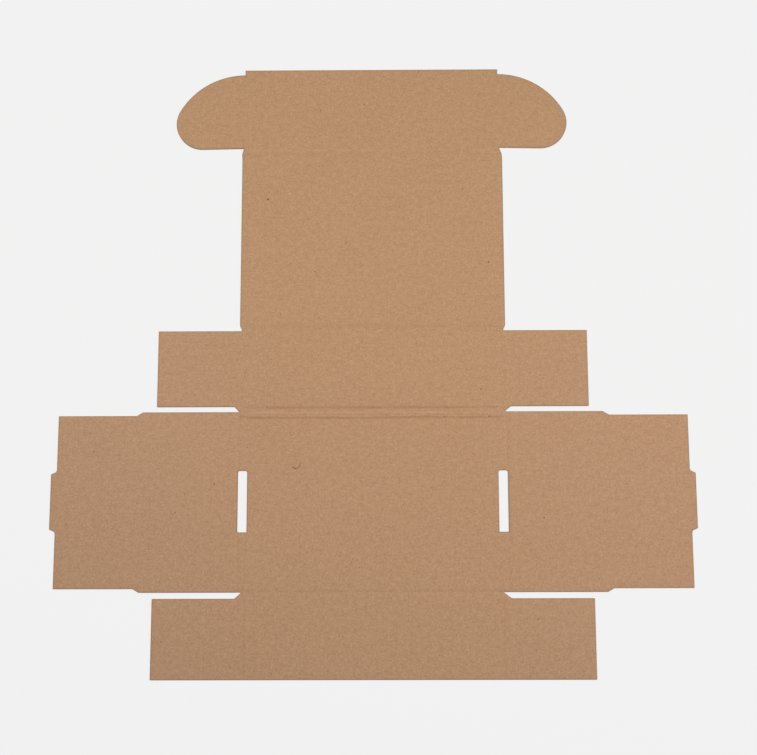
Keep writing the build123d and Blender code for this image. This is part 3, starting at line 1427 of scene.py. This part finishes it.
@dataclass
class Liners:
    """The two outer sheets of the board.

    Their meshes have rings of points near the cut edge, close rows of points along each
    crease, and even rows and columns between them.
    """

    relief: Relief
    upper_finish: LinerFinish
    lower_finish: LinerFinish
    cut_finish: CutPaperFinish
    rings: tuple[float, ...] = (0.12, 0.3, 0.55, 0.9)
    ring_kept: float = 0.9
    ring_clear: float = 0.25
    column_step: float = 4.2
    row_share: int = 4
    crease_margin: float = 0.3
    groove_margin: float = 1.1
    crease_clear: float = 0.3
    shallow: float = 0.1
    deep_rows: int = 13
    shallow_rows: int = 7
    across_step: float = 2.4
    along_step: float = 1.7

    def inner_points(self, fine: bool) -> np.ndarray:
        """Lists the points inside the blank that its relief needs.

        Args:
            fine: Whether the flutes' relief and the wrinkles are wanted too.

        Returns:
            The points, one row each.
        """
        outline, board = self.relief.outline, self.relief.board
        at = outline.lines
        step = board.pitch / (self.row_share if fine else 1)
        rows = np.arange(at.front_edge + step / 2, at.tuck_edge, step)
        columns = np.arange(-at.tab_edge, at.tab_edge + PAST_END, self.column_step)
        even = crossings(columns, rows)
        close = []
        for crease in self.relief.creases:
            if fine or crease.marks_underside:
                even = even[~crease.near(even, self.crease_clear)]
                close.append(self.close_rows(crease, fine))
        grid = np.vstack([even, *close])
        grid = grid[outline.depth(grid) > self.rings[-1] + self.ring_clear]
        rings = [np.vstack(outline.inset(depth)) for depth in self.rings]
        least = [self.ring_kept * depth for depth in self.rings]
        kept = [ring[outline.depth(ring) > depth] for ring, depth in zip(rings, least)]
        return np.vstack([grid, *kept])

    def close_rows(self, crease: Crease, fine: bool) -> np.ndarray:
        """Lists the close rows of points along one crease.

        Args:
            crease: The crease.
            fine: Whether the crease itself is drawn, or the grooves beside it.

        Returns:
            The points, one row each.
        """
        side = crease.width / 2 + (self.crease_margin if fine else self.groove_margin)
        rows = self.deep_rows if crease.depth > self.shallow else self.shallow_rows
        across = crease.line + np.linspace(-side, side, rows)
        step = self.across_step if crease.run is Run.ACROSS else self.along_step
        along = np.arange(crease.start, crease.end + PAST_END, step)
        if crease.run is Run.ALONG:
            return crossings(across, along)
        grid = crossings(along, across)
        grid[:, 1] += crease.turned(grid[:, 0])[0]
        return grid

    def build(self) -> list[bpy.types.Object]:
        """Makes and dresses both liners.

        Returns:
            The upper liner and the lower one.
        """
        relief, liner = self.relief, self.relief.board.liner
        pieces = []
        for face, finish in ((Face.UPPER, self.upper_finish), (Face.LOWER, self.lower_finish)):
            upper_side = face is Face.UPPER
            inner = self.inner_points(upper_side)
            plan = Plan.fill(relief.outline, relief.outline.loops, inner)
            if upper_side:
                top = relief.upper_face(plan.points, plan.depth)
                bottom = top - liner
            else:
                bottom = relief.lower_face(plan.points, plan.depth)
                top = bottom + liner
            piece = sheet_mesh(f"{face.value}_liner", plan, bottom, top)
            # The crease number carries the painted crease shade and ridge highlight; the lower
            # liner gets none.
            shade = relief.crease_shade(plan.points) * (1.0 if upper_side else 0.0)
            store(piece, "crease", np.tile(shade, 2))
            # The cut depth carries the painted shade along the cut edges.
            store(piece, "cut_depth", np.tile(plan.depth, 2))
            piece.data.materials.append(finish.material())
            piece.data.materials.append(self.cut_finish.material())
            mount(piece)
            pieces.append(piece)
        return pieces


@dataclass
class FlutedMedium:
    """The wavy middle sheet, shaped by a node tree from its flat plan."""

    relief: Relief
    finish: CutPaperFinish
    rows_per_flute: int = 12
    first_row: float = 0.1
    inset: float = 0.04

    def tree(self) -> bpy.types.NodeTree:
        """Builds the node tree that waves a flat sheet between the two liners.

        Returns:
            The tree, whose inputs are the flutes' sizes and the finish.
        """
        tree = bpy.data.node_groups.new("flute_wave", "GeometryNodeTree")
        for name, kind in (
            ("Sheet", "NodeSocketGeometry"),
            ("Pitch", "NodeSocketFloat"),
            ("Crest", "NodeSocketFloat"),
            ("Thickness", "NodeSocketFloat"),
            ("Finish", "NodeSocketMaterial"),
        ):
            tree.interface.new_socket(name, in_out="INPUT", socket_type=kind)
        tree.interface.new_socket("Sheet", in_out="OUTPUT", socket_type="NodeSocketGeometry")
        graph = Graph(tree)
        inputs = graph.node("NodeGroupInput").outputs
        names = ("Pitch", "Crest", "Thickness")
        pitch, crest, thickness = (Value(graph, inputs[name]) for name in names)
        spot = graph.node("GeometryNodeInputPosition").outputs[0]
        place = graph.node("ShaderNodeSeparateXYZ", {}, {0: spot}).outputs
        low, high, skin, shut = (
            graph.value("GeometryNodeInputNamedAttribute", {"data_type": "FLOAT"}, {"Name": name})
            for name in ("low", "high", "skin", "shut")
        )
        swing = ((high - low - thickness) / 2).larger(0.0) * (1 - shut)
        turn = (Value(graph, place[1]) - crest) * FULL_TURN / pitch
        slope = swing * FULL_TURN / pitch * turn.sine()
        half = thickness / 2 * (1 + slope * slope) ** 0.5 * (1 - shut) + (high - low) / 2 * shut
        height = (high + low) / 2 + swing * turn.cosine() + skin * half
        lifted = graph.node("ShaderNodeCombineXYZ", {}, {0: place[0], 1: place[1], 2: height})
        links = {"Geometry": inputs["Sheet"], "Position": lifted.outputs[0]}
        moved = graph.node("GeometryNodeSetPosition", {}, links)
        real = graph.node("GeometryNodeRealizeInstances", {}, {0: moved.outputs[0]})
        links = {"Geometry": real.outputs[0], "Material": inputs["Finish"]}
        dressed = graph.node("GeometryNodeSetMaterial", {}, links)
        graph.node("NodeGroupOutput", {}, {0: dressed.outputs[0]})
        return tree

    def flat_sheet(self) -> bpy.types.Object:
        """Makes the sheet flat, with the numbers that the node tree reads on its mesh.

        Returns:
            The flat sheet, which has no thickness yet.
        """
        relief, board = self.relief, self.relief.board
        at = relief.outline.lines
        step = board.pitch / self.rows_per_flute
        rows = np.arange(at.front_edge + self.first_row, at.tuck_edge, step)
        plan = Plan.fill(relief.outline, relief.outline.inset(self.inset), np.empty((0, 2)), rows)
        flat = np.zeros(len(plan.points))
        piece = sheet_mesh("fluted_medium", plan, flat, flat)
        low = relief.lower_face(plan.points, plan.depth) + board.liner - board.glue
        high = relief.upper_face(plan.points, plan.depth) - board.liner + board.glue
        store(piece, "low", np.tile(low * MM, 2))
        store(piece, "high", np.tile(high * MM, 2))
        store(piece, "skin", np.repeat([1.0, -1.0], len(plan.points)))
        store(piece, "shut", np.tile(relief.closing(plan.points), 2))
        return piece

    def build(self) -> bpy.types.Object:
        """Makes the sheet, waves it and dresses it.

        Returns:
            The finished sheet.
        """
        board, piece = self.relief.board, self.flat_sheet()
        wave = piece.modifiers.new("wave", "NODES")
        wave.node_group = self.tree()
        sizes = {
            "Pitch": board.pitch * MM,
            "Crest": board.crest * MM,
            "Thickness": board.medium * MM,
            "Finish": self.finish.material(),
        }
        for item in wave.node_group.interface.items_tree:
            if item.in_out == "INPUT" and item.name in sizes:
                wave[item.identifier] = sizes[item.name]
        mesh = plain_mesh(piece)
        piece.modifiers.clear()
        piece.data = mesh
        mesh.set_sharp_from_angle(angle=WAVE_FOLD)
        mount(piece)
        return piece


@dataclass
class StrayFibre:
    """The curled dark fibre that lies in the base panel's surface.

    It is thinner at its ends and swells at one point of its path.
    """

    relief: Relief
    finish: LooseFibreFinish
    width: float = 0.3
    thin_end: float = 0.5
    swelling: float = 0.8
    swells_at: int = 2
    swells_over: float = 1.9
    from_edge: float = 50.0
    path: tuple[Point, ...] = (
        (-37.64, -48.61),
        (-37.31, -49.18),
        (-36.69, -49.51),
        (-35.85, -49.51),
        (-35.0, -49.28),
        (-34.44, -48.62),
        (-34.17, -47.78),
        (-33.89, -46.85),
    )

    def drawn(self) -> bpy.types.Curve:
        """Draws the fibre's path on the upper face.

        Returns:
            The curve, as thick as the fibre.
        """
        plan = np.array(self.path)
        heights = self.relief.upper_face(plan, np.full(len(plan), self.from_edge))
        curve = bpy.data.curves.new("stray_fibre", "CURVE")
        curve.dimensions = "3D"
        curve.bevel_depth = self.width / 2 * MM
        curve.bevel_resolution = 3
        curve.use_fill_caps = True
        line = curve.splines.new("NURBS")
        line.points.add(len(plan) - 1)
        for i, (point, (x, y), z) in enumerate(zip(line.points, self.path, heights)):
            point.co = (x * MM, y * MM, z * MM, 1.0)
            away = (i - self.swells_at) / self.swells_over
            point.radius = self.thin_end + self.swelling * math.exp(-(away**2))
        line.order_u = 3
        line.use_endpoint_u = True
        line.resolution_u = 6
        return curve

    def build(self) -> bpy.types.Object:
        """Makes the fibre as a thin round strand, half sunk in the paper.

        Returns:
            The finished fibre.
        """
        line = placed("fibre_line", self.drawn())
        mesh = plain_mesh(line)
        bpy.data.objects.remove(line)
        mesh.materials.clear()
        mesh.materials.append(self.finish.material())
        mesh.polygons.foreach_set("use_smooth", np.ones(len(mesh.polygons), bool))
        piece = placed("stray_fibre", mesh)
        mount(piece)
        return piece


# Floor, light and camera.


@dataclass
class Studio:
    """The pale floor, the soft light and the camera above the blank."""

    backdrop: Colour = linear(242, 242, 242)
    floor_half: float = 3.0
    floor_gap: float = 0.1
    lens: float = 45.1
    sensor: float = 36.0
    nearest_seen: float = 0.01
    eye: tuple[float, float, float] = (5.47, -58.94, 448.56)
    right: tuple[float, float, float] = (0.99997712, -0.00260591, -0.00624216)
    up: tuple[float, float, float] = (0.00331276, 0.993238, 0.11604866)
    back: tuple[float, float, float] = (0.00589753, -0.11606668, 0.99322391)
    glow_share: float = 0.93
    far_glow_share: float = 0.989
    far_from: tuple[float, float] = (0.4, 1.6)
    glow_strength: float = 1.008
    sky_strength: float = 0.3
    sky_colour: Colour = (0.7, 0.9, 1.333)
    lamp_power: float = 3.0235
    lamp_length: float = 1.4
    lamp_width: float = 0.42
    lamp_place: tuple[float, float, float] = (0.044, 0.056, 0.42)
    lamp_turn: float = -0.2
    lamp_colour: Colour = (1.14, 1.0, 0.7804)

    def camera(self) -> None:
        """Sets up the camera at the photograph's angle."""
        data = bpy.data.cameras.new("view")
        data.lens = self.lens
        data.sensor_width = self.sensor
        data.sensor_fit = "HORIZONTAL"
        data.clip_start = self.nearest_seen
        eye = placed("view", data)
        turn = Matrix((self.right, self.up, self.back)).transposed()
        eye.matrix_world = Matrix.Translation(Vector(self.eye) * MM) @ turn.to_4x4()
        bpy.context.scene.camera = eye

    def floor(self) -> None:
        """Lays the pale floor, which keeps the blank's soft shadow and fades into the sky."""
        half, level = self.floor_half, -self.floor_gap * MM
        corners = [(x * half, y * half, level) for x, y in ((-1, -1), (1, -1), (1, 1), (-1, 1))]
        mesh = bpy.data.meshes.new("floor")
        mesh.from_pydata(corners, [], [(0, 1, 2, 3)])
        material = bpy.data.materials.new("floor_paper")
        material.use_nodes = True
        graph = Graph(material.node_tree)
        paper = graph.node("ShaderNodeBsdfDiffuse", {}, {"Color": (*self.backdrop, 1.0)})
        light = {"Color": (*self.backdrop, 1.0), "Strength": self.glow_strength}
        glow = graph.node("ShaderNodeEmission", {}, light)
        spot = graph.node("ShaderNodeTexCoord").outputs["Object"]
        away = graph.value("ShaderNodeVectorMath", {"operation": "LENGTH"}, {0: spot}, "Value")
        gain = self.far_glow_share - self.glow_share
        share = self.seen(graph) * (self.glow_share + gain * away.rise(*self.far_from))
        graph.end_mixed("ShaderNodeOutputMaterial", share, paper, glow)
        mesh.materials.append(material)
        floor = placed("floor", mesh)

    @staticmethod
    def seen(graph: Graph) -> Value:
        """Tells where the camera sees a surface straight, in a mirror or through glass.

        Args:
            graph: The node tree under construction.

        Returns:
            1 where it is seen so, else 0.
        """
        path = graph.node("ShaderNodeLightPath").outputs
        names = ("Is Camera Ray", "Is Glossy Ray", "Is Transmission Ray")
        camera, gloss, glass = (Value(graph, path[name]) for name in names)
        return camera.larger(gloss).larger(glass)

    def sky(self) -> None:
        """Lights the set evenly from all around, and shows as the backdrop's colour."""
        world = bpy.data.worlds.new("sky")
        world.use_nodes = True
        graph = Graph(world.node_tree)
        light = {"Color": (*self.sky_colour, 1.0), "Strength": self.sky_strength}
        glow = graph.node("ShaderNodeBackground", {}, light)
        shown = graph.node("ShaderNodeBackground", {}, {"Color": (*self.backdrop, 1.0)})
        graph.end_mixed("ShaderNodeOutputWorld", self.seen(graph), glow, shown)
        bpy.context.scene.world = world

    def lamp(self) -> None:
        """Hangs the long soft lamp over the blank."""
        data = bpy.data.lights.new("softbox", "AREA")
        data.shape = "RECTANGLE"
        data.size = self.lamp_length
        data.size_y = self.lamp_width
        data.energy = self.lamp_power
        data.color = self.lamp_colour
        lamp = placed("softbox", data)
        lamp.visible_camera = False
        place = Vector(self.lamp_place)
        back = place.normalized()
        side = Vector((0.0, 1.0, 0.0)).cross(back).normalized()
        aim = Matrix((side, back.cross(side), back)).transposed().to_4x4()
        turn = Matrix.Rotation(self.lamp_turn, 4, "Z")
        lamp.matrix_world = Matrix.Translation(place) @ aim @ turn

    def build(self) -> None:
        """Sets up the whole studio."""
        self.camera()
        self.floor()
        self.sky()
        self.lamp()
        bpy.context.scene.view_settings.view_transform = "Standard"
        log.info("studio ready")


def main() -> None:
    """Builds the studio and the blank's sheets in order."""
    logging.basicConfig(level=logging.INFO, format="%(name)s: %(message)s")
    Studio().build()
    relief = Relief(Outline())
    cut = CutPaperFinish("cut_paper")
    upper = LinerFinish("upper_liner_paper", Face.UPPER, marks=UPPER_MARKS)
    lower = LinerFinish("lower_liner_paper", Face.LOWER)
    Liners(relief, upper, lower, cut).build()
    FlutedMedium(relief, CutPaperFinish("medium_paper")).build()
    StrayFibre(relief, LooseFibreFinish("fibre")).build()


if __name__ == "__main__":
    main()
